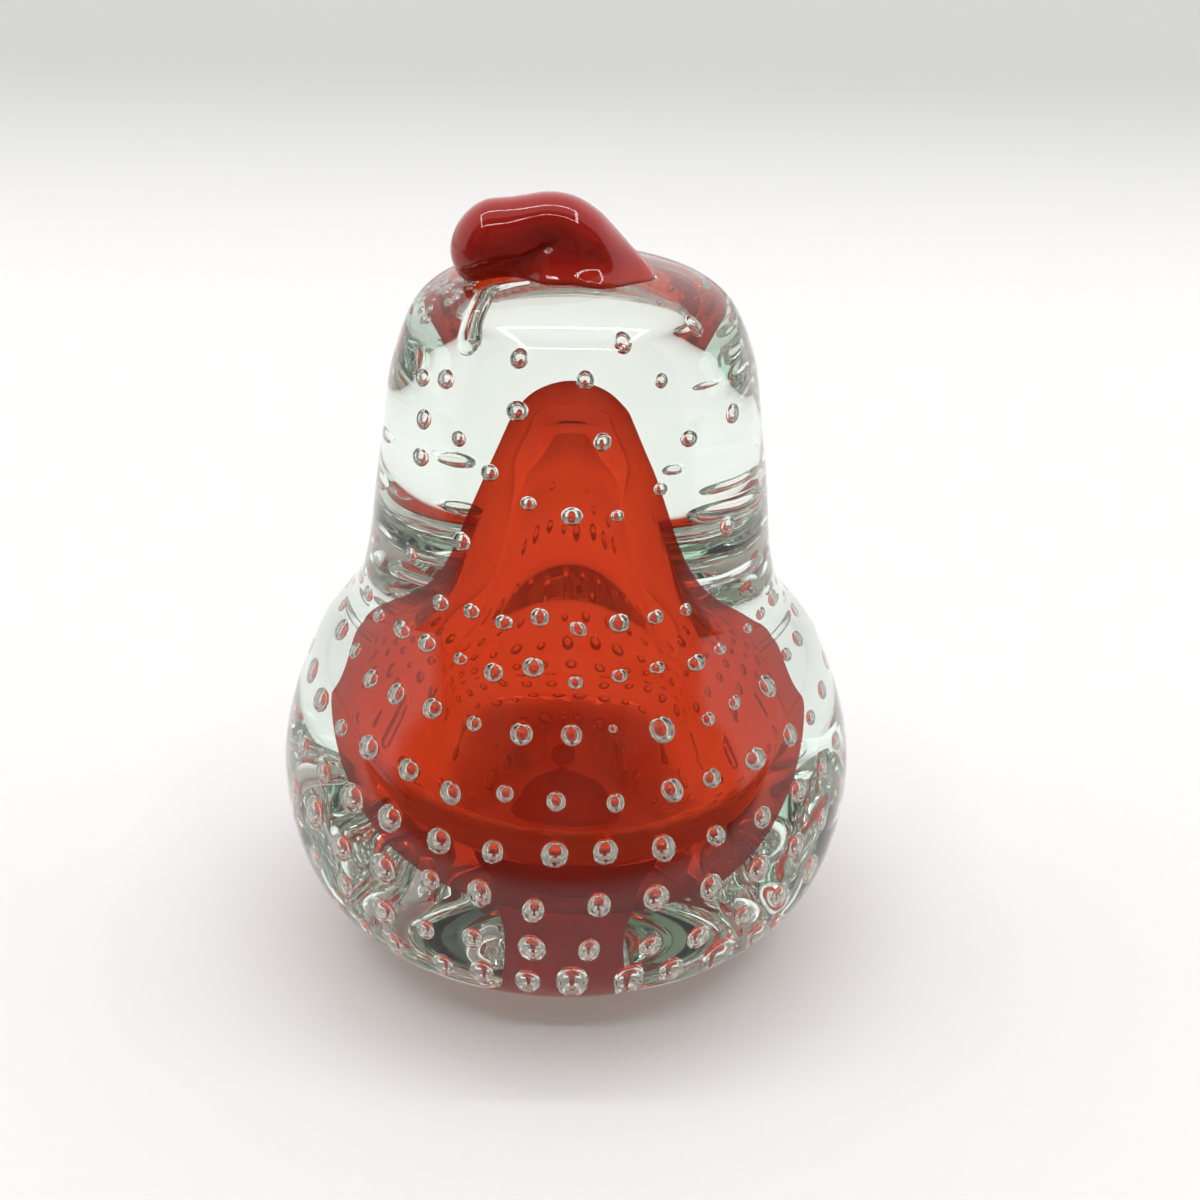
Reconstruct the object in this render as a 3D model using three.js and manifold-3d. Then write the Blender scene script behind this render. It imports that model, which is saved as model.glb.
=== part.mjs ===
// A hand-made glass pear paperweight: a blown red bubble cased in clear glass, a curled stem on the dome.
// Millimetres, +Z up, standing on its ground base with the origin at the middle of that base.
// The front, where the clear tail of the stem runs down the dome, looks along -Y.

import * as THREE from 'three';
import { mergeGeometries, mergeVertices } from 'three/addons/utils/BufferGeometryUtils.js';
import Module from 'manifold-3d';

const wasm = await Module();
wasm.setup();

// Outer casing: the radius at each station, and its rise above the station below
const baseRadius = 22.8;
const footRadius = 38.0;
const footRise = 9.3;
const bellyRadius = 42.5;
const bellyRise = 17.7;
const shoulderRadius = 37.4;
const shoulderRise = 18.3;
const waistRadius = 30.3;
const waistRise = 10.9;
const neckRadius = 26.9;
const neckRise = 18.8;
const browRadius = 24.4;
const browRise = 14.7;
const domeRadius = 19.8;
const domeRise = 8.6;
const crownRise = 4.3;

// Behind, the casing is shaped by hand: pinched at the waist, let out along the neck, a little to the right
const backPinch = 0.9;
const pinchRise = 9.7;
const backFill = 2.0;
const fillRise = 16.0;
const fillLength = 17.0;
const backTurn = 14;
const backSpread = 1.25;

// Layers: the casing's wall, and the seam left between neighbouring layers of glass
const casingWall = 6.5;
const seamGap = 0.3;

// Red bubble: a hollow smaller pear on a stalk, at the heights of the casing's stations
const stalkRadius = 5.6;
const stalkRise = 6.5;
const flareRadius = 9.5;
const flareRise = 7.0;
const undersideRadius = 20.2;
const undersideRise = 3.5;
const bubbleBellyRadius = 24.2;
const bubbleBellyLift = 0.5;
const bubbleSlopeRadius = 22.3;
const bubbleSlopeRise = 6.5;
const bubbleShoulderRadius = 18.0;
const bubbleWaistRadius = 12.3;
const bubbleNeckRadius = 7.3;
const bubbleTipRadius = 5.4;
const bubbleTipRise = 6.2;
const bubbleTopRise = 3.2;
const bubbleWall = 1.6;

// Plug: the red glass pinched off at the iron, which closes the bubble's stalk from the base up
const plugHeight = 10.0;
const plugCrownRadius = 2.4;
const plugCrownRise = 1.2;

// Pits pricked by the pin mould: close rows on the body, sparser ones on the neck
const bodyPits = { columns: 30, firstHeight: 10.0, pitch: 7.0, rows: 7, radius: 1.9, twist: 1.75 };
const neckPits = { columns: 20, firstHeight: 60.0, pitch: 8.5, rows: 3, radius: 1.3, twist: 4.0 };

// Stem: the gob's middle line from its foot to its blunt end, as [x, y, lift above the crown]
const stemLine = [
  [9.4, -1.6, -2.1],
  [7.6, -2.0, -0.4],
  [4.1, -2.0, 1.3],
  [0.5, -2.0, 2.7],
  [-3.5, -2.0, 3.3],
  [-8.1, -2.3, 3.3],
  [-12.0, -2.9, 2.7],
  [-16.0, -3.6, 1.6],
];
const stemFootRadius = 2.6;
const stemNeckRadius = 4.6;
const stemRadius = 6.2;
const stemEndRadius = 5.2;

// Tail: the clear thread from the stem's end, as [x, y] down the front of the dome
const tailLine = [
  [-11.6, -3.0],
  [-12.3, -7.6],
  [-12.7, -12.0],
  [-13.2, -16.2],
];
const tailRadius = 1.5;
const tailTipRadius = 1.9;

// How quickly the ends of the stem and the tail round off: the higher, the blunter
const endBluntness = 6;

// Facets round the axis, and points between two stations of an outline
const facets = 36;
const outerSteps = 3;
const innerSteps = 2;
const stemSides = 16;
const stemSteps = 22;
const tailSides = 8;
const tailSteps = 10;
const mergeDistance = 1e-4;

// Heights of the stations above the base
const footHeight = footRise;
const bellyHeight = footHeight + bellyRise;
const shoulderHeight = bellyHeight + shoulderRise;
const waistHeight = shoulderHeight + waistRise;
const neckHeight = waistHeight + neckRise;
const browHeight = neckHeight + browRise;
const domeHeight = browHeight + domeRise;
const crownHeight = domeHeight + crownRise;
const pinchHeight = shoulderHeight + pinchRise;
const fillHeight = pinchHeight + fillRise;
const fillTopHeight = fillHeight + fillLength;
const flareHeight = stalkRise + flareRise;
const undersideHeight = flareHeight + undersideRise;
const bubbleBellyHeight = bellyHeight + bubbleBellyLift;
const bubbleTipHeight = neckHeight + bubbleTipRise;
const bubbleTopHeight = bubbleTipHeight + bubbleTopRise;

const casingStations = [
  [baseRadius, 0],
  [footRadius, footHeight],
  [bellyRadius, bellyHeight],
  [shoulderRadius, shoulderHeight],
  [waistRadius, waistHeight],
  [neckRadius, neckHeight],
  [browRadius, browHeight],
  [domeRadius, domeHeight],
  [0, crownHeight],
];
const backStations = [
  [0, shoulderHeight],
  [-backPinch, pinchHeight],
  [backFill, fillHeight],
  [backFill, fillTopHeight],
  [0, crownHeight],
];
const bubbleStations = [
  [stalkRadius, 0],
  [stalkRadius, stalkRise],
  [flareRadius, flareHeight],
  [undersideRadius, undersideHeight],
  [bubbleBellyRadius, bubbleBellyHeight],
  [bubbleSlopeRadius, bubbleBellyHeight + bubbleSlopeRise],
  [bubbleShoulderRadius, shoulderHeight],
  [bubbleWaistRadius, waistHeight],
  [bubbleNeckRadius, neckHeight],
  [bubbleTipRadius, bubbleTipHeight],
  [0, bubbleTopHeight],
];

// A smooth outline through the stations, level where it crosses the axis
function outlineThrough(stations, steps) {
  const rightSide = stations.map(([radius, height]) => new THREE.Vector3(radius, height, 0));
  const leftSide = rightSide.slice(0, -1).reverse().map((p) => new THREE.Vector3(-p.x, p.y, 0));
  const curve = new THREE.CatmullRomCurve3([...rightSide, ...leftSide], false, 'centripetal');
  const count = (stations.length - 1) * steps;
  const outline = [];
  for (let i = 0; i <= count; i += 1) {
    const point = curve.getPoint(i / count / 2);
    outline.push(new THREE.Vector2(i === count ? 0 : point.x, i === 0 ? 0 : point.y));
  }
  return outline;
}

// The outline moved out by a distance along its normals, or in by a negative one, still ending on the base
function outlineMoved(outline, distance) {
  const last = outline.length - 1;
  const moved = [new THREE.Vector2(outline[0].x + distance, 0)];
  for (let i = 1; i < last; i += 1) {
    const along = outline[i + 1].clone().sub(outline[i - 1]).normalize();
    const point = new THREE.Vector2(along.y, -along.x).multiplyScalar(distance).add(outline[i]);
    if (point.y > moved[moved.length - 1].y && point.x > 0) moved.push(point);
  }
  moved.push(new THREE.Vector2(0, outline[last].y + distance));
  return moved;
}

// A turned solid about +Z: a full one, or a shell whose hollow is the inner outline and opens at the base
function turned(outer, inner) {
  const hollow = inner ? [...inner].reverse() : [new THREE.Vector2(0, 0)];
  const geometry = new THREE.LatheGeometry([...hollow, ...outer], facets);
  return geometry.rotateX(Math.PI / 2);
}

// How far the casing moves out behind at a height
function backMove(height) {
  for (let i = 1; i < backStations.length; i += 1) {
    const [[lowMove, low], [highMove, high]] = [backStations[i - 1], backStations[i]];
    if (height > low && height <= high) {
      return lowMove + (highMove - lowMove) * THREE.MathUtils.smoothstep(height, low, high);
    }
  }
  return 0;
}

// A turned shell shaped behind: the points of its outer outline there move out or in, its hollow stays
function shapedBehind(outer, inner) {
  const geometry = turned(outer, inner);
  const position = geometry.attributes.position;
  for (let i = 0; i < position.count; i += 1) {
    const [x, y, z] = [position.getX(i), position.getY(i), position.getZ(i)];
    const radius = Math.hypot(x, y);
    if (i % (inner.length + outer.length) >= inner.length && radius > mergeDistance) {
      const side = Math.cos(Math.atan2(x, y) - THREE.MathUtils.degToRad(backTurn));
      const share = THREE.MathUtils.smoothstep(backSpread * side, 0, 1);
      const grown = 1 + backMove(z) * share / radius;
      position.setXYZ(i, x * grown, y * grown, z);
    }
  }
  geometry.computeVertexNormals();
  return geometry;
}

// Round-section gob along a curve: the turned outline is laid along the curve's own frames
function laidAlong(curve, radii, sides, steps, extra) {
  const profile = new THREE.SplineCurve(radii.map((radius, i) => new THREE.Vector2(radius, i)));
  const outline = [new THREE.Vector2(0, 0)];
  for (let i = 1; i < steps; i += 1) {
    const along = i / steps;
    const roundEnds = Math.sqrt(Math.min(1, endBluntness * Math.min(along, 1 - along)));
    outline.push(new THREE.Vector2(profile.getPoint(along).x * roundEnds + extra, along));
  }
  outline.push(new THREE.Vector2(0, 1));
  const geometry = new THREE.LatheGeometry(outline, sides);
  const frames = curve.computeFrenetFrames(steps, false);
  const position = geometry.attributes.position;
  for (let i = 0; i < position.count; i += 1) {
    const along = position.getY(i);
    const step = Math.round(along * steps);
    const place = curve.getPointAt(along);
    place.addScaledVector(frames.normals[step], position.getX(i));
    place.addScaledVector(frames.binormals[step], -position.getZ(i));
    position.setXYZ(i, place.x, place.y, place.z);
  }
  return geometry;
}

// Solids for cutting: shared points merged, and the collapsed triangles at the poles left out
function solidOf(geometry) {
  const bare = geometry.clone();
  bare.deleteAttribute('normal');
  bare.deleteAttribute('uv');
  const merged = mergeVertices(bare, mergeDistance);
  const corners = merged.index.array;
  const triangles = [];
  for (let i = 0; i < corners.length; i += 3) {
    const [a, b, c] = [corners[i], corners[i + 1], corners[i + 2]];
    if (a !== b && b !== c && c !== a) triangles.push(a, b, c);
  }
  return new wasm.Manifold(new wasm.Mesh({
    numProp: 3,
    vertProperties: new Float32Array(merged.attributes.position.array),
    triVerts: new Uint32Array(triangles),
  }));
}

function geometryOf(solid) {
  const mesh = solid.getMesh();
  const geometry = new THREE.BufferGeometry();
  geometry.setAttribute('position', new THREE.BufferAttribute(mesh.vertProperties, mesh.numProp));
  geometry.setIndex(new THREE.BufferAttribute(mesh.triVerts, 1));
  geometry.computeVertexNormals();
  return geometry;
}

// The height of an outline's upper surface at a radius
function heightAt(outline, radius) {
  for (let i = outline.length - 1; i > 0; i -= 1) {
    const [high, low] = [outline[i], outline[i - 1]];
    if (low.x >= radius) return high.y + (low.y - high.y) * (radius - high.x) / (low.x - high.x);
  }
  return 0;
}

// The point of an outline at a height, with its outward normal
function sideAt(outline, height) {
  const i = outline.findIndex((point) => point.y > height);
  const [low, high] = [outline[i - 1], outline[i]];
  const share = (height - low.y) / (high.y - low.y);
  const along = high.clone().sub(low).normalize();
  return { radius: low.x + (high.x - low.x) * share, normal: new THREE.Vector2(along.y, -along.x) };
}

// One pin pit for each column and row, square to the gather's surface
function pitsOn(outline, pits) {
  const made = [];
  for (let row = 0; row < pits.rows; row += 1) {
    const height = pits.firstHeight + row * pits.pitch;
    const { radius, normal } = sideAt(outline, height);
    for (let column = 0; column < pits.columns; column += 1) {
      const turn = THREE.MathUtils.degToRad(360 * column / pits.columns + row * pits.twist);
      const outward = new THREE.Vector3(normal.x * Math.sin(turn), -normal.x * Math.cos(turn), normal.y);
      const square = new THREE.Quaternion().setFromUnitVectors(new THREE.Vector3(0, 0, 1), outward);
      const pit = new THREE.OctahedronGeometry(pits.radius).applyQuaternion(square);
      made.push(pit.translate(radius * Math.sin(turn), -radius * Math.cos(turn), height));
    }
  }
  return made;
}

const casingOutline = outlineThrough(casingStations, outerSteps);
const bubbleOutline = outlineThrough(bubbleStations, innerSteps);
const gatherOutline = outlineMoved(casingOutline, -casingWall - seamGap);
const domeKeepOut = solidOf(turned(outlineMoved(casingOutline, seamGap)));

const clearGlass = { color: 0xe4ece6, roughness: 0.05, metalness: 0, transparent: true, opacity: 0.35 };
const redGlass = { color: 0xb02a18, roughness: 0.05, metalness: 0, transparent: true, opacity: 0.85 };

const pear = new THREE.Group();

function addPiece(name, geometry, finish) {
  const piece = new THREE.Mesh(geometry, new THREE.MeshStandardMaterial(finish));
  piece.name = name;
  pear.add(piece);
}

// Layers of glass, from the inside outwards
const plugRadius = stalkRadius - bubbleWall - seamGap;
addPiece('punty_plug', turned([
  new THREE.Vector2(plugRadius, 0),
  new THREE.Vector2(plugRadius, plugHeight - plugCrownRise),
  new THREE.Vector2(plugCrownRadius, plugHeight),
  new THREE.Vector2(0, plugHeight),
]), redGlass);
addPiece('red_bubble', turned(bubbleOutline, outlineMoved(bubbleOutline, -bubbleWall)), redGlass);

const pitSolids = solidOf(mergeGeometries([
  ...pitsOn(gatherOutline, bodyPits),
  ...pitsOn(gatherOutline, neckPits),
]));
const plainGather = solidOf(turned(gatherOutline, outlineMoved(bubbleOutline, seamGap)));
addPiece('bubble_gather', geometryOf(plainGather.subtract(pitSolids)), clearGlass);

addPiece('outer_casing', shapedBehind(casingOutline, outlineMoved(casingOutline, -casingWall)), clearGlass);

// Stem and its clear tail, seated on the dome
const stemCurve = new THREE.CatmullRomCurve3(
  stemLine.map(([x, y, lift]) => new THREE.Vector3(x, y, crownHeight + lift)),
);
const stemRadii = [stemFootRadius, stemNeckRadius, stemRadius, stemRadius, stemEndRadius, stemEndRadius];
const stemSolid = solidOf(laidAlong(stemCurve, stemRadii, stemSides, stemSteps, 0));
addPiece('stem', geometryOf(stemSolid.subtract(domeKeepOut)), redGlass);

const tailCurve = new THREE.CatmullRomCurve3(
  tailLine.map(([x, y]) => new THREE.Vector3(x, y, heightAt(casingOutline, Math.hypot(x, y)))),
);
const tailRadii = [tailRadius, tailRadius, tailRadius, tailTipRadius];
const tailSolid = solidOf(laidAlong(tailCurve, tailRadii, tailSides, tailSteps, 0));
const stemKeepOut = solidOf(laidAlong(stemCurve, stemRadii, stemSides, stemSteps, seamGap));
addPiece('stem_tail', geometryOf(tailSolid.subtract(domeKeepOut).subtract(stemKeepOut)), clearGlass);

export default pear;
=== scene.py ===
import math
import random

import bpy
from mathutils import Matrix, Vector


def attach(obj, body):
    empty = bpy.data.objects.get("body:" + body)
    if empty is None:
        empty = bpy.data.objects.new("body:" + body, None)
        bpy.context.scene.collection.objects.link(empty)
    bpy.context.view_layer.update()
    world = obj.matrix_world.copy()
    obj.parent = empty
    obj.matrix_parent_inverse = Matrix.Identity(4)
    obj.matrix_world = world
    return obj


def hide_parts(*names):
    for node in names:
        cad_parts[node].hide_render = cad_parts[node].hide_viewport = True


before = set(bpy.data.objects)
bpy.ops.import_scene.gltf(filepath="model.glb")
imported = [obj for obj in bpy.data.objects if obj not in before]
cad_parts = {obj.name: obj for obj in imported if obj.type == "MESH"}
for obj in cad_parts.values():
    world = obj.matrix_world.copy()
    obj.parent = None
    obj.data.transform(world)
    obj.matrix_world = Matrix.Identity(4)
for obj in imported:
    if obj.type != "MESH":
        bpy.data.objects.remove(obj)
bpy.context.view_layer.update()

mm = 0.001
print("frame loaded:", ", ".join(sorted(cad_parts)))


# small helpers for shapes

mergeGap = 0.002  # mm, closer points of a turned form become one
# the small round at the edge of a base, in shares of it: in from the edge and up from the base
cornerSteps = [(2.0, 0.0), (1.0, 0.04), (0.3, 0.2)]
cornerTop = 0.5  # the side goes on from here up


def clearSelection():
    if bpy.context.mode != "OBJECT":
        bpy.ops.object.mode_set(mode="OBJECT")
    bpy.ops.object.select_all(action="DESELECT")


def pickOnly(pieces, active):
    clearSelection()
    for piece in pieces:
        piece.select_set(True)
    bpy.context.view_layer.objects.active = active


def editAll(piece):
    pickOnly([piece], piece)
    bpy.ops.object.mode_set(mode="EDIT")
    bpy.ops.mesh.select_all(action="SELECT")


def splineThrough(points, before, after, steps):
    # centripetal spline through points, with one more point before and after to set its ends
    chain = [before] + points + [after]
    line = []
    for a, b, c, d in zip(chain, chain[1:], chain[2:], chain[3:]):
        k1 = (b - a).length ** 0.5
        k2 = k1 + (c - b).length ** 0.5
        k3 = k2 + (d - c).length ** 0.5
        for step in range(steps):
            t = k1 + (k2 - k1) * step / steps
            ab = a.lerp(b, t / k1)
            bc = b.lerp(c, (t - k1) / (k2 - k1))
            cd = c.lerp(d, (t - k2) / (k3 - k2))
            abc = ab.lerp(bc, t / k2)
            bcd = bc.lerp(cd, (t - k1) / (k3 - k1))
            line.append(abc.lerp(bcd, (t - k1) / (k2 - k1)))
    line.append(points[-1])
    return line


def turnedLine(stations, steps):
    # half outline through (radius, height) stations, level where it meets the axis
    points = [Vector(station) for station in stations]
    mirrored = Vector((-points[-2].x, points[-2].y))
    return splineThrough(points, 2 * points[0] - points[1], mirrored, steps)


def easeStep(value):
    value = max(0.0, min(1.0, value))
    return value * value * (3 - 2 * value)


def readAt(table, spot):
    # value at a spot on a short table of (spot, value) rows, eased from row to row
    for (low, lowValue), (high, highValue) in zip(table, table[1:]):
        if spot <= high:
            return lowValue + (highValue - lowValue) * easeStep((spot - low) / (high - low))
    return table[-1][1]


def footed(line, cornerRound):
    # the turned line closed across its flat underside, with a small round at the edge
    edge, start = line[0].x, line[0].y
    foot = [Vector((0, start))]
    for inward, upward in cornerSteps:
        foot.append(Vector((edge - inward * cornerRound, start + upward * cornerRound)))
    return foot + [point for point in line if point.y > start + cornerTop * cornerRound]


def spinLine(name, line, turnSteps):
    # one vertex, extruded along the half outline (mm) and spun round the axis
    clearSelection()
    bpy.ops.mesh.primitive_plane_add(size=mm)
    piece = bpy.context.object
    piece.name = name
    bpy.ops.object.mode_set(mode="EDIT")
    bpy.ops.mesh.select_all(action="SELECT")
    bpy.ops.mesh.merge(type="CENTER")
    bpy.ops.transform.translate(value=(line[0].x * mm, 0, line[0].y * mm))
    for here, there in zip(line, line[1:]):
        move = ((there.x - here.x) * mm, 0, (there.y - here.y) * mm)
        bpy.ops.mesh.extrude_vertices_move(TRANSFORM_OT_translate={"value": move})
    bpy.ops.mesh.select_all(action="SELECT")
    bpy.ops.mesh.spin(steps=turnSteps, angle=math.tau, center=(0, 0, 0), axis=(0, 0, 1))
    bpy.ops.mesh.select_all(action="SELECT")
    bpy.ops.mesh.remove_doubles(threshold=mergeGap * mm)
    bpy.ops.mesh.normals_make_consistent(inside=False)
    bpy.ops.object.mode_set(mode="OBJECT")
    bpy.ops.object.shade_smooth()
    return piece


def turnInsideOut(piece):
    editAll(piece)
    bpy.ops.mesh.flip_normals()
    bpy.ops.object.mode_set(mode="OBJECT")


def joinInto(piece, others):
    pickOnly([piece] + others, piece)
    bpy.ops.object.join()


def nearestOn(path, place):
    # distance from a place to a path of points, and how far along the path that is, 0 to 1
    best = (math.inf, 0.0)
    for i, (a, b) in enumerate(zip(path, path[1:])):
        share = max(0.0, min(1.0, (place - a).dot(b - a) / (b - a).length_squared))
        gap = (place - a.lerp(b, share)).length
        if gap < best[0]:
            best = (gap, (i + share) / (len(path) - 1))
    return best


def wearOn(piece, material):
    piece.data.materials.clear()
    piece.data.materials.append(material)


# small helpers for shaders

def splitAxes(tree, place):
    split = tree.nodes.new("ShaderNodeSeparateXYZ")
    tree.links.new(place, split.inputs["Vector"])
    return split.outputs


def fadeStep(tree, value, start, end):
    # from 0 at the start value to 1 at the end value, softly
    step = tree.nodes.new("ShaderNodeMapRange")
    step.interpolation_type = "SMOOTHSTEP"
    step.inputs["From Min"].default_value = start
    step.inputs["From Max"].default_value = end
    tree.links.new(value, step.inputs["Value"])
    return step.outputs["Result"]


def blend(tree, mask, under, over, kind="MIX"):
    # two colours, each a tuple or a socket, mixed by a mask
    mix = tree.nodes.new("ShaderNodeMix")
    mix.data_type = "RGBA"
    mix.blend_type = kind
    tree.links.new(mask, mix.inputs["Factor"])
    for socket, colour in (("A", under), ("B", over)):
        if isinstance(colour, tuple):
            mix.inputs[socket].default_value = (*colour, 1)
        else:
            tree.links.new(colour, mix.inputs[socket])
    return mix.outputs["Result"]


def toneRamp(tree, value, rows):
    # colour by a value, from (value, colour) rows
    ramp = tree.nodes.new("ShaderNodeValToRGB")
    while len(ramp.color_ramp.elements) < len(rows):
        ramp.color_ramp.elements.new(0.5)  # each gets its own place below
    for element, (spot, colour) in zip(ramp.color_ramp.elements, rows):
        element.position = spot
        element.color = (*colour, 1)
    tree.links.new(value, ramp.inputs["Fac"])
    return ramp.outputs["Color"]


# glass materials

handWork = {
    "drawnOut": (1.0, 1.0, 0.45),  # ripples are longer along the axis
    "rippleDetail": 1.0, "smearDetail": 4.0, "smearFrom": 0.5, "smearTo": 0.8,
}


def makeHandMarks():
    # what hand work leaves in glass: slow ripples in the surface and a little smear
    group = bpy.data.node_groups.new("handMarks", "ShaderNodeTree")
    for name in ("Ripple Scale", "Smear Scale", "Smear Amount"):
        group.interface.new_socket(name=name, in_out="INPUT", socket_type="NodeSocketFloat")
    for name in ("Ripple", "Smear"):
        group.interface.new_socket(name=name, in_out="OUTPUT", socket_type="NodeSocketFloat")
    nodes, links = group.nodes, group.links
    given = nodes.new("NodeGroupInput")
    result = nodes.new("NodeGroupOutput")
    place = nodes.new("ShaderNodeTexCoord")
    drawn = nodes.new("ShaderNodeMapping")
    drawn.inputs["Scale"].default_value = handWork["drawnOut"]
    ripple = nodes.new("ShaderNodeTexNoise")
    ripple.inputs["Detail"].default_value = handWork["rippleDetail"]
    smear = nodes.new("ShaderNodeTexNoise")
    smear.inputs["Detail"].default_value = handWork["smearDetail"]
    band = nodes.new("ShaderNodeMapRange")
    band.inputs["From Min"].default_value = handWork["smearFrom"]
    band.inputs["From Max"].default_value = handWork["smearTo"]
    links.new(place.outputs["Object"], drawn.inputs["Vector"])
    links.new(drawn.outputs["Vector"], ripple.inputs["Vector"])
    links.new(place.outputs["Object"], smear.inputs["Vector"])
    links.new(given.outputs["Ripple Scale"], ripple.inputs["Scale"])
    links.new(given.outputs["Smear Scale"], smear.inputs["Scale"])
    links.new(smear.outputs["Fac"], band.inputs["Value"])
    links.new(given.outputs["Smear Amount"], band.inputs["To Max"])
    links.new(ripple.outputs["Fac"], result.inputs["Ripple"])
    links.new(band.outputs["Result"], result.inputs["Smear"])
    return group


handMarks = makeHandMarks()


def heightColour(tree, heights):
    # colour by height in mm: on the red bubble as the thickness of its wall changes, on the stalk a little
    # darker towards the bottom, and on the stem painted light, lighter and more orange towards the thin
    # foot where light would shine through
    low, high = heights[0][0], heights[-1][0]
    place = tree.nodes.new("ShaderNodeTexCoord")
    rise = tree.nodes.new("ShaderNodeMapRange")
    rise.inputs["From Min"].default_value = low * mm
    rise.inputs["From Max"].default_value = high * mm
    tree.links.new(splitAxes(tree, place.outputs["Object"])["Z"], rise.inputs["Value"])
    rows = [((height - low) / (high - low), colour) for height, colour in heights]
    return toneRamp(tree, rise.outputs["Result"], rows)


def makeGlass(name, look):
    material = bpy.data.materials.new(name)
    material.use_nodes = True
    tree = material.node_tree
    nodes, links = tree.nodes, tree.links
    body = nodes["Principled BSDF"]
    body.inputs["IOR"].default_value = look["bend"]
    body.inputs["Transmission Weight"].default_value = look["clear"]
    marks = nodes.new("ShaderNodeGroup")
    marks.node_tree = handMarks
    marks.inputs["Ripple Scale"].default_value = look["rippleScale"]
    marks.inputs["Smear Scale"].default_value = look["smearScale"]
    marks.inputs["Smear Amount"].default_value = look["smear"]
    links.new(marks.outputs["Smear"], body.inputs["Roughness"])
    bump = nodes.new("ShaderNodeBump")
    bump.inputs["Distance"].default_value = look["rippleHeight"] * mm
    links.new(marks.outputs["Ripple"], bump.inputs["Height"])
    links.new(bump.outputs["Normal"], body.inputs["Normal"])
    if "colour" in look:
        body.inputs["Base Color"].default_value = (*look["colour"], 1)
    else:
        colour = heightColour(tree, look["heights"])
        if "slantTint" in look:
            # a slanting look goes through more of the wall
            slant = nodes.new("ShaderNodeLayerWeight")
            colour = blend(tree, slant.outputs["Facing"], colour, look["slantTint"], "MULTIPLY")
        links.new(colour, body.inputs["Base Color"])
    if "depthColour" in look:
        depth = nodes.new("ShaderNodeVolumeAbsorption")
        depth.inputs["Color"].default_value = (*look["depthColour"], 1)
        depth.inputs["Density"].default_value = look["depthDensity"]
        links.new(depth.outputs["Volume"], nodes["Material Output"].inputs["Volume"])
    return material


clearGlass = makeGlass("clearGlass", {
    "colour": (1, 1, 1), "bend": 1.5, "clear": 1.0,
    "depthColour": (0.90, 0.96, 0.92), "depthDensity": 30.0,
    "rippleScale": 60.0, "rippleHeight": 0.02, "smearScale": 140.0, "smear": 0.004,
})
# the red ones line the clear glass, so they colour light without bending it
redGlass = makeGlass("redGlass", {
    "heights": [(13, (0.95, 0.05, 0.02)), (22, (0.95, 0.068, 0.017)), (76, (0.95, 0.068, 0.017)),
                (82, (0.66, 0.048, 0.018))],
    "slantTint": (0.46, 0.42, 0.45), "bend": 1.0, "clear": 0.81,
    "rippleScale": 90.0, "rippleHeight": 0.02, "smearScale": 140.0, "smear": 0.0,
})
stalkGlass = makeGlass("stalkGlass", {
    "heights": [(0, (0.9, 0.03, 0.025)), (14, (0.95, 0.04, 0.022))],
    "slantTint": (0.6, 0.6, 0.6), "bend": 1.0, "clear": 0.4,
    "rippleScale": 90.0, "rippleHeight": 0.02, "smearScale": 140.0, "smear": 0.0,
})
# dense, with painted light: lighter and more orange towards the foot, standing in for light shining through
# the thin glass there
stemGlass = makeGlass("stemGlass", {
    "heights": [(100.6, (0.54, 0.045, 0.012)), (102.6, (0.47, 0.02, 0.01)), (104.4, (0.42, 0.011, 0.008))],
    "bend": 1.5, "clear": 0.0,
    "rippleScale": 200.0, "rippleHeight": 0.05, "smearScale": 300.0, "smear": 0.06,
})
print("glass ready")


# clear glass: the turned pear, its trapped bubbles and the tail drawn down from the stem

pearForm = {
    # half outline: radius and height
    "stations": [(22.8, 0.0), (38.0, 9.3), (42.5, 27.0), (37.4, 45.3), (30.3, 56.2),
                 (26.9, 75.0), (24.4, 89.7), (19.8, 98.3), (0.0, 102.6)],
    "lineSteps": 24, "turnSteps": 240, "edgeRound": 0.6,
    # behind, the waist is pinched and the neck let out: how far out at each height,
    # and the turn of the middle of that from straight behind
    "backMoves": [(45.3, 0), (55.0, -0.9), (71.0, 2.0), (88.0, 2.0), (102.6, 0)],
    "backTurn": 14.0, "backSpread": 1.25,
}
bubbles = {
    "depth": 6.5, "stretch": 1.1, "facets": 2, "seed": 11, "drift": 0.4,
    "tilt": 0.25, "squash": (0.9, 1.1), "sizeSpread": 0.15, "sizeLimits": (0.5, 1.45),
    # rings in the body: height of the first, pitch, bubbles in a ring, turn of the first, twist a ring
    "rings": 9, "ringFrom": 3.5, "ringPitch": 7.0, "around": 30, "firstTurn": -10.1, "ringTwist": 1.75,
    # from this height up, none at the sides: turns between these, to the left and right
    "bareFrom": 55.0, "bareTurns": (50, 130),
    "ringSizes": [(0, 1.65), (4, 1.6), (6, 1.3), (8, 1.05)],
    # the odd ones, by ring and column: larger or smaller than their row
    "odd": {(6, 2): 1.5, (6, 1): 0.5, (4, 27): 1.35, (1, 4): 1.4},
    # in the neck they are scattered: turn from the front and height
    "neck": [(-23, 93), (24, 94), (68, 93), (-66, 87), (-54, 89), (6, 91), (36, 90), (-64, 83), (-43, 83),
             (-17, 87), (12, 84), (47, 82), (70, 83), (-59, 78), (-29, 79), (-15, 76), (1, 74), (17, 74),
             (32, 77), (-38, 70), (157, 77), (-161, 69), (163, 68), (157, 64), (140, 62), (60, 68),
             (-62, 64)],
    "neckSize": 1.1,
    # froth caught under the end of the stem: where it lies in x and y, its depth and its bubble sizes
    "froth": {"count": 55, "x": (-20.0, -12.5), "y": (-8.0, 2.0), "depth": (0.9, 2.6), "size": (0.3, 0.75)},
}
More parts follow.
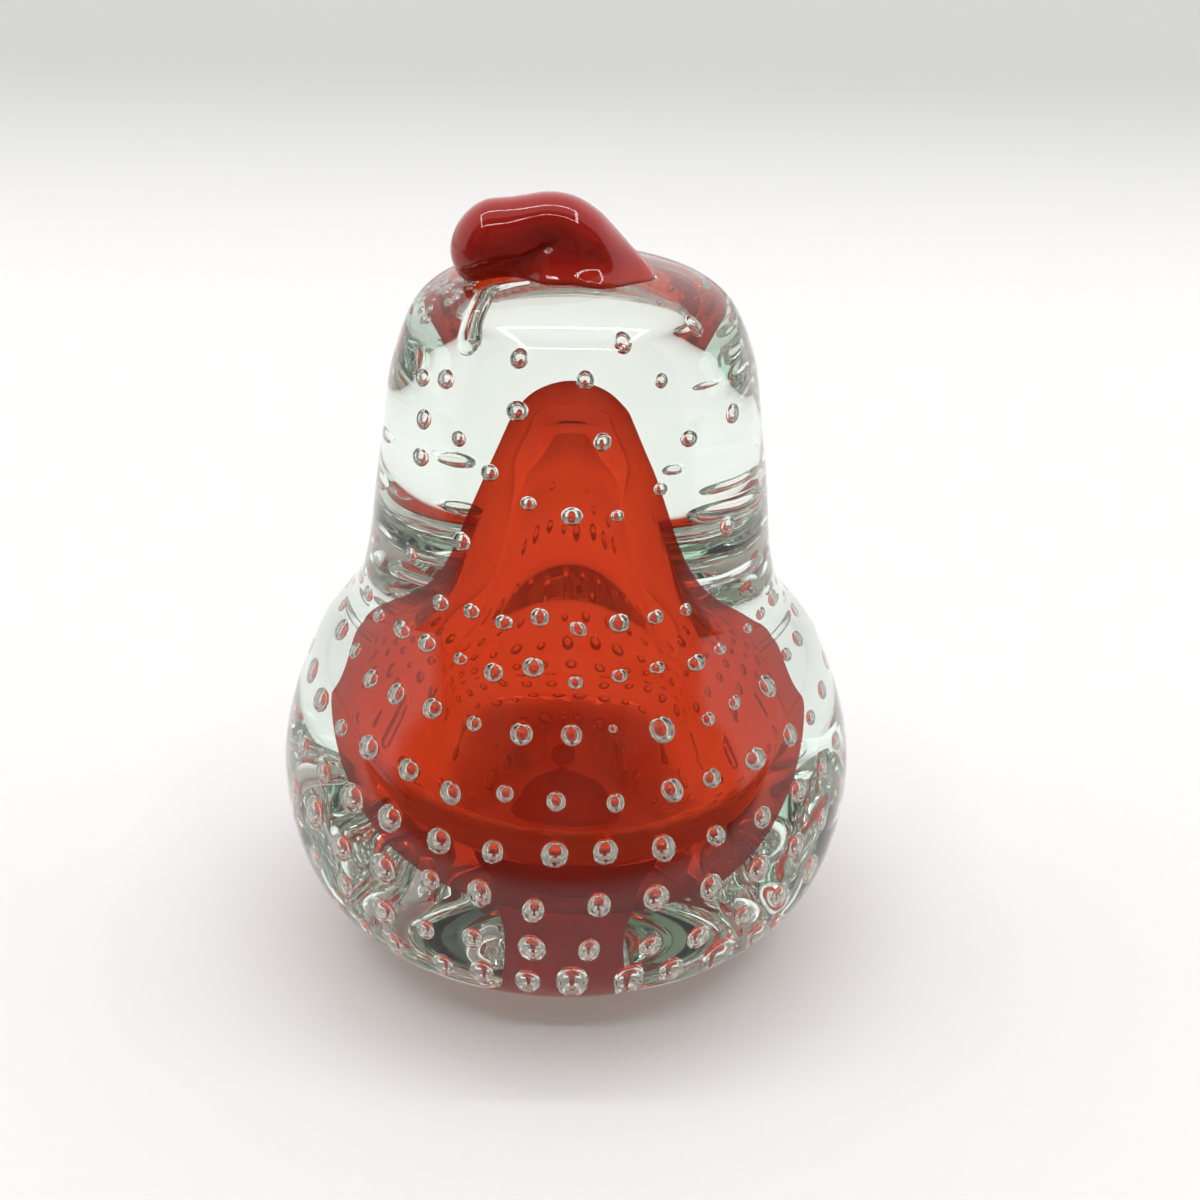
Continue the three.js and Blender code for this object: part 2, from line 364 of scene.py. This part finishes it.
tailForm = {
    # x and y of its middle line on the dome, from the stem down to the drop
    "path": [(-6.0, -8.2), (-8.4, -8.4), (-10.4, -8.8), (-11.6, -10.2), (-12.2, -12.4), (-12.9, -15.0),
             (-13.2, -17.2)],
    "halfWidth": 1.6, "height": 1.1, "roundness": 0.8,
    # share of the width and height along the path, with a drop at its end
    "swell": [(0, 0.35), (0.25, 0.6), (0.5, 0.9), (0.8, 0.95), (1, 1.1)],
    # the skin is cut finer as far from the line as this many half widths
    "cutReach": 1.6, "cuts": 3,
}
redForm = {
    # half outline of the stalk and the bubble on it: radius and height
    "stations": [(5.6, 0.4), (5.6, 6.5), (9.5, 13.5), (20.2, 17.0), (24.2, 27.5), (22.3, 34.0),
                 (17.6, 45.3), (12.1, 56.2), (7.3, 75.0), (5.1, 81.2), (3.3, 83.7), (0.0, 84.8)],
    "lineSteps": 12, "turnSteps": 128, "edgeRound": 0.4, "stalkTop": 13.2,
    # wall by height, and the floor of the air inside: height of its rim and how far it hangs below that
    "walls": [(0, 4.0), (18, 4.0), (22, 3.0), (30, 1.6), (45, 1.2), (57, 1.0), (75, 1.2), (81, 1.6),
              (84, 3.0), (84.8, 3.4)],
    "airFrom": 21.0, "airDrop": 3.8,
    "skin": 0.05,  # clear glass that keeps the surfaces of red and air apart
    # how much lower the right side hangs, up to a height, and a shift to the left between two heights,
    # each eased in and out over a length
    "lean": 0.04, "leanTo": 62.0, "leanIn": 15.0, "leanOut": 20.0,
    "shift": 0.2, "shiftFrom": 34.0, "shiftIn": 10.0, "shiftTo": 74.0, "shiftOut": 12.0,
}

pearLine = turnedLine(pearForm["stations"], pearForm["lineSteps"])
redLine = turnedLine(redForm["stations"], redForm["lineSteps"])


def hollowLine(skin):
    # the red bubble's line moved in by its wall and a skin, from the floor of the air up to the axis
    moved = []
    for low, here, high in zip(redLine, redLine[1:], redLine[2:]):
        along = (high - low).normalized()
        place = here - (readAt(redForm["walls"], here.y) + skin) * Vector((along.y, -along.x))
        if place.y > redForm["airFrom"] and (not moved or place.y > moved[-1].y):
            moved.append(place)
    rim = moved[0]
    floor = []
    for step in range(redForm["lineSteps"]):
        share = math.sin(0.5 * math.pi * step / redForm["lineSteps"])
        floor.append(Vector((rim.x * share, rim.y - redForm["airDrop"] * (1 - share ** 3))))
    return floor + moved + [Vector((0, redLine[-1].y - redForm["walls"][-1][1] - skin))]


def tipOver(piece):
    # the body of the bubble hangs a little lower on the right, and its slope leans to the left
    for vertex in piece.data.vertices:
        height = vertex.co.z / mm
        share = easeStep((redForm["leanTo"] - height) / redForm["leanOut"])
        share *= easeStep(height / redForm["leanIn"])
        vertex.co.z -= vertex.co.x * redForm["lean"] * share
        shift = redForm["shift"] * mm * easeStep((height - redForm["shiftFrom"]) / redForm["shiftIn"])
        vertex.co.x -= shift * easeStep((redForm["shiftTo"] - height) / redForm["shiftOut"])


def insetRadius(height, depth):
    # radius at a height on the line that runs a depth under the pear's surface
    last = None
    for low, high in zip(pearLine, pearLine[1:]):
        along = (high - low).normalized()
        here = low - depth * Vector((along.y, -along.x))
        if last and last.y <= height < here.y:
            return last.lerp(here, (height - last.y) / (here.y - last.y)).x
        last = here
    return pearLine[0].x - depth


def domeHeight(radius):
    # height of the pear's top at a distance from the axis
    i = next(i for i in range(len(pearLine) - 1, 0, -1) if pearLine[i].x > radius)
    low, high = pearLine[i], pearLine[i + 1]
    return low.y + (high.y - low.y) * (low.x - radius) / (low.x - high.x)


def makeBubbleSeed():
    # a ball of air, a little taller than wide, facing inwards so that it is a hollow
    clearSelection()
    bpy.ops.mesh.primitive_ico_sphere_add(subdivisions=bubbles["facets"], radius=1)
    seed = bpy.context.object
    bpy.ops.object.mode_set(mode="EDIT")
    bpy.ops.mesh.select_all(action="SELECT")
    bpy.ops.transform.resize(value=(1, 1, bubbles["stretch"]))
    bpy.ops.mesh.flip_normals()
    bpy.ops.object.mode_set(mode="OBJECT")
    bpy.ops.object.shade_smooth()
    return seed


def placeBubbles(seed):
    dice = random.Random(bubbles["seed"])
    drift, spread = bubbles["drift"], bubbles["sizeSpread"]
    smallest, largest = bubbles["sizeLimits"]
    made = []

    def addBubble(x, y, z, size):
        copy = seed.copy()
        copy.data = seed.data.copy()
        copy.location = (x * mm, y * mm, z * mm)
        copy.rotation_euler = [dice.gauss(0, bubbles["tilt"]) for axis in range(3)]
        copy.scale = [size * dice.uniform(*bubbles["squash"]) * mm for axis in range(3)]
        bpy.context.collection.objects.link(copy)
        made.append(copy)

    def addUnderSkin(turn, height, size):
        height += dice.gauss(0, drift)
        radius = insetRadius(height, min(bubbles["depth"], height))
        angle = math.radians(turn) + dice.gauss(0, drift) / radius
        size *= max(smallest, min(largest, dice.gauss(1, spread)))
        addBubble(radius * math.sin(angle), -radius * math.cos(angle), height, size)

    bareFrom, bareTo = bubbles["bareTurns"]
    for ring in range(bubbles["rings"]):
        height = bubbles["ringFrom"] + bubbles["ringPitch"] * ring
        for column in range(bubbles["around"]):
            turn = 360 * column / bubbles["around"] + bubbles["firstTurn"] + bubbles["ringTwist"] * ring
            aside = abs((turn + 180) % 360 - 180)
            if height < bubbles["bareFrom"] or not bareFrom < aside < bareTo:
                size = readAt(bubbles["ringSizes"], ring) * bubbles["odd"].get((ring, column), 1)
                addUnderSkin(turn, height, size)
    for turn, height in bubbles["neck"]:
        addUnderSkin(turn, height, bubbles["neckSize"])
    froth = bubbles["froth"]
    for bubble in range(froth["count"]):
        x, y = dice.uniform(*froth["x"]), dice.uniform(*froth["y"])
        height = domeHeight(math.hypot(x, y)) - dice.uniform(*froth["depth"])
        addBubble(x, y, height, dice.uniform(*froth["size"]))
    bpy.data.objects.remove(seed)
    pickOnly(made, made[0])
    bpy.ops.object.transform_apply(location=True, rotation=True, scale=True)
    return made


def shapeBack(piece):
    for vertex in piece.data.vertices:
        height, radius = vertex.co.z / mm, math.hypot(vertex.co.x, vertex.co.y)
        if height > pearForm["backMoves"][0][0] and radius > mm:
            side = math.cos(math.atan2(vertex.co.x, vertex.co.y) - math.radians(pearForm["backTurn"]))
            out = readAt(pearForm["backMoves"], height) * easeStep(pearForm["backSpread"] * side) * mm
            vertex.co.x *= 1 + out / radius
            vertex.co.y *= 1 + out / radius


def raiseTail(piece):
    # the skin near the tail's path is cut finer and then drawn up into a round ridge
    path = [Vector((x, y, domeHeight(math.hypot(x, y)))) * mm for x, y in tailForm["path"]]
    reach = tailForm["halfWidth"] * mm
    lowest = min(place.z for place in path) - 2 * reach
    pickOnly([piece], piece)
    bpy.ops.object.mode_set(mode="EDIT")
    bpy.ops.mesh.select_mode(type="FACE")
    bpy.ops.mesh.select_all(action="DESELECT")
    bpy.ops.object.mode_set(mode="OBJECT")
    for face in piece.data.polygons:
        near = face.center.z > lowest and nearestOn(path, face.center)[0] < tailForm["cutReach"] * reach
        face.select = near
    bpy.ops.object.mode_set(mode="EDIT")
    bpy.ops.mesh.subdivide(number_cuts=tailForm["cuts"])
    bpy.ops.mesh.select_mode(type="VERT")
    bpy.ops.object.mode_set(mode="OBJECT")
    skin = [(vertex, vertex.normal.copy()) for vertex in piece.data.vertices if vertex.co.z > lowest]
    for vertex, outward in skin:
        gap, along = nearestOn(path, vertex.co)
        wide = reach * readAt(tailForm["swell"], along)
        if gap < wide:
            lift = tailForm["height"] * mm * readAt(tailForm["swell"], along)
            vertex.co += outward * lift * (1 - (gap / wide) ** 2) ** tailForm["roundness"]


clearPear = spinLine("clearPear", footed(pearLine, pearForm["edgeRound"]), pearForm["turnSteps"])
shapeBack(clearPear)
raiseTail(clearPear)
airHollow = spinLine("airHollow", hollowLine(redForm["skin"]), redForm["turnSteps"])
turnInsideOut(airHollow)
tipOver(airHollow)
joinInto(clearPear, placeBubbles(makeBubbleSeed()) + [airHollow])
wearOn(clearPear, clearGlass)
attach(clearPear, "root")
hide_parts("outer_casing", "bubble_gather", "stem_tail")
print("clear pear with bubbles:", len(clearPear.data.polygons), "faces")


# red bubble: a thin lining of red glass round the air, on the stalk that runs down to the base

def makeRed(name, line, material, *nodes):
    piece = spinLine(name, line, redForm["turnSteps"])
    tipOver(piece)
    wearOn(piece, material)
    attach(piece, "root")
    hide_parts(*nodes)


bodyLine = [point for point in redLine if point.y > redForm["stalkTop"]]
stalkLine = [point for point in redLine if point.y <= redForm["stalkTop"]]
bodyFloor = Vector((0, redForm["stalkTop"]))
stalkEnd = bodyFloor - Vector((0, redForm["skin"]))
makeRed("redBubble", [bodyFloor] + bodyLine, redGlass, "red_bubble")
makeRed("redStalk", footed(stalkLine, redForm["edgeRound"]) + [stalkEnd], stalkGlass, "punty_plug")
print("red bubble and stalk ready")


# curled stem laid on the dome

stemForm = {
    # from the tip of the foot to the blunt end: x, y and height of the middle, and the radius there
    "stations": [(10.9, -1.8, 101.2, 0.2), (10.0, -1.8, 101.3, 1.3), (8.3, -1.8, 101.6, 2.7),
                 (5.5, -2.0, 102.9, 4.5), (3.2, -2.0, 104.2, 5.5), (0.0, -2.0, 105.4, 6.15),
                 (-3.3, -2.0, 105.7, 6.35), (-6.5, -2.2, 105.5, 6.15), (-8.4, -2.4, 105.4, 6.0),
                 (-12.0, -2.9, 105.2, 5.95), (-16.3, -3.6, 104.6, 5.9)],
    "capLength": 5.8, "stationSteps": 12, "ringSteps": 90, "turnSteps": 90, "sunk": 0.5,
    # crease under the curled lobe, by x: its angle from the top, its depth, and the step back below it
    "foldAngles": [(-15.2, 135), (-14.0, 116), (-11.9, 104), (-9.5, 100), (-7.0, 99), (-5.1, 94),
                   (-3.7, 86), (-2.0, 80)],
    "foldDepths": [(-15.6, 0.1), (-13.0, 0.8), (-5.0, 1.0), (-3.2, 0.6), (-1.5, 0.0)],
    "foldSteps": [(-15.6, 0.2), (-12.0, 1.2), (-6.0, 1.0), (-3.0, 0.0)],
    "foldWidth": 0.5, "stepWidth": 0.9, "stepFade": 40,
    # pressed in or swelling: x, angle from the top, reach along x, reach in angle, and how far out
    "dents": [(-3.4, 82, 3.4, 24, -1.5), (4.4, 60, 2.4, 34, 0.5), (3.2, 114, 3.4, 15, 0.7)],
    "deepest": 0.5,  # share of the radius that a crease and a dent may take
    # flare where the foot has run out on the dome: height, width, the x where it begins and is full,
    # and the core near the middle line that stays as it is
    "flareHeight": 3.4, "flareWidth": 2.4, "flareFrom": -9.0, "flareFull": -4.0, "flareCore": 0.3,
}


def stemOutward(radius, angle, x):
    # radius of the stem with its crease and dents, angle in degrees from the top towards the front
    off = math.radians(angle - readAt(stemForm["foldAngles"], x)) * radius
    pressed = readAt(stemForm["foldDepths"], x) * math.exp(-(off / stemForm["foldWidth"]) ** 2)
    stepIn = readAt(stemForm["foldSteps"], x) * easeStep(off / stemForm["stepWidth"])
    pressed += stepIn * easeStep((180 - angle) / stemForm["stepFade"])
    for atX, atAngle, reachX, reachAngle, out in stemForm["dents"]:
        pressed -= out * math.exp(-((x - atX) / reachX) ** 2 - ((angle - atAngle) / reachAngle) ** 2)
    return radius - min(pressed, stemForm["deepest"] * radius)


def makeStem():
    points = [Vector(station) for station in stemForm["stations"]]
    before, after = 2 * points[0] - points[1], 2 * points[-1] - points[-2]
    path = splineThrough(points, before, after, stemForm["stationSteps"])
    tip, end = points[0].x, points[-1].x

    def stationAt(x):
        i = next((i for i in range(1, len(path)) if path[i].x <= x), len(path) - 1)
        return path[i - 1].lerp(path[i], (path[i - 1].x - x) / (path[i - 1].x - path[i].x))

    # turned upright first, with its height as the way from the tip, and then laid along the path
    line = [Vector((0, 0))]
    for step in range(1, stemForm["ringSteps"]):
        travel = (tip - end) * (0.5 - 0.5 * math.cos(math.pi * step / stemForm["ringSteps"]))
        capped = max(0.0, 1 - (tip - end - travel) / stemForm["capLength"])
        line.append(Vector((stationAt(tip - travel).w * math.sqrt(1 - capped ** 2), travel)))
    line.append(Vector((0, tip - end)))
    piece = spinLine("curledStem", line, stemForm["turnSteps"])
    flareRun = stemForm["flareFull"] - stemForm["flareFrom"]
    for vertex in piece.data.vertices:
        x = min(max(tip - vertex.co.z / mm, end), tip)
        middle = stationAt(x)
        radius = math.hypot(vertex.co.x, vertex.co.y) / mm
        spin = math.atan2(vertex.co.y, vertex.co.x)
        if spin > 0:
            radius = stemOutward(radius, math.degrees(spin), x)
        spot = Vector((x, middle.y - radius * math.sin(spin), middle.z + radius * math.cos(spin)))
        spread = easeStep((x - stemForm["flareFrom"]) / flareRun)
        rise = spot.z - domeHeight(math.hypot(spot.x, spot.y))
        if rise < stemForm["flareHeight"] and radius > stemForm["flareCore"]:
            share = spread * (1 - max(rise, 0) / stemForm["flareHeight"]) ** 2
            spot.y += math.copysign(stemForm["flareWidth"] * share, spot.y - middle.y)
        spot.z = max(spot.z, domeHeight(math.hypot(spot.x, spot.y)) - stemForm["sunk"])
        vertex.co = spot * mm
    editAll(piece)
    bpy.ops.mesh.normals_make_consistent(inside=False)
    bpy.ops.object.mode_set(mode="OBJECT")
    return piece


stem = makeStem()
wearOn(stem, stemGlass)
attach(stem, "root")
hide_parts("stem")
print("stem ready")


# floor, light and camera

floorForm = {
    "size": 6.0, "drop": 0.02, "roughness": 0.7, "sheen": 0.2,
    # pale near the pear, with painted shade far behind it, a duller grey that stands in for the light
    # falling off with distance, and a duller grey towards the room in front of the view
    "near": (0.93, 0.92, 0.92),
    # painted shade: far behind the pear the floor is made darker, for light that falls off with distance
    "far": (0.59, 0.595, 0.595), "farFrom": 0.25, "farTo": 0.75,
    "front": (0.16, 0.16, 0.13), "frontFrom": -0.085, "frontTo": -0.17,
}


def makeFloor():
    clearSelection()
    bpy.ops.mesh.primitive_plane_add(size=floorForm["size"])
    floor = bpy.context.object
    floor.name = "floor"
    material = bpy.data.materials.new("paperSheet")
    material.use_nodes = True
    tree = material.node_tree
    body = tree.nodes["Principled BSDF"]
    body.inputs["Roughness"].default_value = floorForm["roughness"]
    body.inputs["Specular IOR Level"].default_value = floorForm["sheen"]
    place = tree.nodes.new("ShaderNodeTexCoord")
    backward = splitAxes(tree, place.outputs["Object"])["Y"]
    sheet = floorForm["near"]
    # the far fade is painted shade for light falling off with distance, the front fade goes towards the
    # room
    for zone in ("far", "front"):
        reached = fadeStep(tree, backward, floorForm[zone + "From"], floorForm[zone + "To"])
        sheet = blend(tree, reached, sheet, floorForm[zone])
    tree.links.new(sheet, body.inputs["Base Color"])
    wearOn(floor, material)
    floor.location.z = -floorForm["drop"] * mm


roomLight = {
    "strength": 1.18,
    # a white tent: its walls, and its ceiling, by how far a direction points up
    "walls": (0.92, 0.92, 0.92), "ceiling": (0.75, 0.75, 0.75), "ceilingFrom": 0.6, "ceilingTo": 0.8,
    # its opening at the front, in slopes from straight ahead, and the dull room seen through it
    "openWide": 3.0, "openHigh": 6.0, "openSoft": 0.3, "leastAhead": 0.001,
    "roomScale": 3.2, "roomDetail": 1.0,
    "roomTones": [(0.34, (0.065, 0.065, 0.058)), (0.46, (0.105, 0.108, 0.075)),
                  (0.58, (0.18, 0.18, 0.135)), (0.7, (0.24, 0.21, 0.15))],
    # rectangle of small lamps on the ceiling, in slopes from straight up: middle, half sizes, strip, dots
    "frameMiddle": (0.0, -0.13), "frameHalf": (0.5, 0.365), "stripHalf": 0.03, "leastUp": 0.05,
    "dotRate": 70.0, "dotFrom": -0.4, "lampColour": (14, 14, 14),
}


def makeRoom():
    world = bpy.data.worlds.new("room")
    bpy.context.scene.world = world
    world.use_nodes = True
    tree = world.node_tree
    nodes, links = tree.nodes, tree.links
    background = nodes["Background"]
    background.inputs["Strength"].default_value = roomLight["strength"]
    place = nodes.new("ShaderNodeTexCoord")
    axes = splitAxes(tree, place.outputs["Generated"])

    def work(kind, first, second=0.0):
        node = nodes.new("ShaderNodeMath")
        node.operation = kind
        for socket, value in zip(node.inputs, (first, second)):
            if isinstance(value, float):
                socket.default_value = value
            else:
                links.new(value, socket)
        return node.outputs["Value"]

    # things in the room: a few dull colours by direction
    blur = nodes.new("ShaderNodeTexNoise")
    blur.inputs["Scale"].default_value = roomLight["roomScale"]
    blur.inputs["Detail"].default_value = roomLight["roomDetail"]
    links.new(place.outputs["Generated"], blur.inputs["Vector"])
    room = toneRamp(tree, blur.outputs["Fac"], roomLight["roomTones"])

    overhead = fadeStep(tree, axes["Z"], roomLight["ceilingFrom"], roomLight["ceilingTo"])
    tent = blend(tree, overhead, roomLight["walls"], roomLight["ceiling"])
    ahead = work("MAXIMUM", work("MULTIPLY", axes["Y"], -1.0), roomLight["leastAhead"])
    across = work("DIVIDE", work("ABSOLUTE", axes["X"]), ahead)
    upward = work("DIVIDE", axes["Z"], ahead)
    inner, outer = 1 - roomLight["openSoft"], 1 + roomLight["openSoft"]
    shutX = fadeStep(tree, across, roomLight["openWide"] * inner, roomLight["openWide"] * outer)
    shutZ = fadeStep(tree, upward, roomLight["openHigh"] * inner, roomLight["openHigh"] * outer)
    whole = blend(tree, work("MAXIMUM", shutX, shutZ), room, tent)

    height = work("MAXIMUM", axes["Z"], roomLight["leastUp"])
    slopes, outside = [], []
    for axis, middle, half in zip("XY", roomLight["frameMiddle"], roomLight["frameHalf"]):
        slopes.append(work("SUBTRACT", work("DIVIDE", axes[axis], height), middle))
        outside.append(work("SUBTRACT", work("ABSOLUTE", slopes[-1]), half))
    onStrip = work("LESS_THAN", work("ABSOLUTE", work("MAXIMUM", *outside)), roomLight["stripHalf"])
    wave = work("SINE", work("MULTIPLY", work("ADD", *slopes), roomLight["dotRate"]))
    lamps = work("MULTIPLY", onStrip, work("GREATER_THAN", wave, roomLight["dotFrom"]))
    links.new(blend(tree, lamps, whole, roomLight["lampColour"]), background.inputs["Color"])


shot = {
    # close hand-held shot: aim in the photo's 1200 frame, focal length in pixels of that frame
    "elevation": 28.0, "distance": 271.1, "targetHeight": 43.56, "focalPixels": 1820.2,
    "targetPixel": (569.0, 647.6), "roll": 1.27, "frame": 1200.0, "sensorWidth": 36, "clipStart": 0.01,
}


def makeCamera():
    rise = math.radians(shot["elevation"])
    back = Vector((0, -math.cos(rise), math.sin(rise)))
    target = Vector((0, 0, shot["targetHeight"] * mm))
    eye = target + back * shot["distance"] * mm
    across = Vector((1, 0, 0))
    upward = back.cross(across).normalized()
    scale = shot["distance"] * mm / shot["focalPixels"]
    aim = target + across * (shot["frame"] / 2 - shot["targetPixel"][0]) * scale
    aim += upward * (shot["targetPixel"][1] - shot["frame"] / 2) * scale
    turn = (aim - eye).to_track_quat("-Z", "Y").to_matrix()
    turn = turn @ Matrix.Rotation(math.radians(shot["roll"]), 3, "Z")
    clearSelection()
    bpy.ops.object.camera_add(location=eye, rotation=turn.to_euler())
    camera = bpy.context.object
    camera.data.sensor_width = shot["sensorWidth"]
    camera.data.lens = shot["sensorWidth"] * shot["focalPixels"] / shot["frame"]
    camera.data.clip_start = shot["clipStart"]
    bpy.context.scene.camera = camera


lightBounces = {
    "all": 32, "through": 32,
    "mirrored": 6,  # inner reflections: with more the lower glass turns pale, with fewer it turns black
}

makeFloor()
makeRoom()
makeCamera()
bpy.context.scene.view_settings.view_transform = "Standard"
bpy.context.scene.cycles.max_bounces = lightBounces["all"]
bpy.context.scene.cycles.transmission_bounces = lightBounces["through"]
bpy.context.scene.cycles.glossy_bounces = lightBounces["mirrored"]
print("stage ready")

clearSelection()
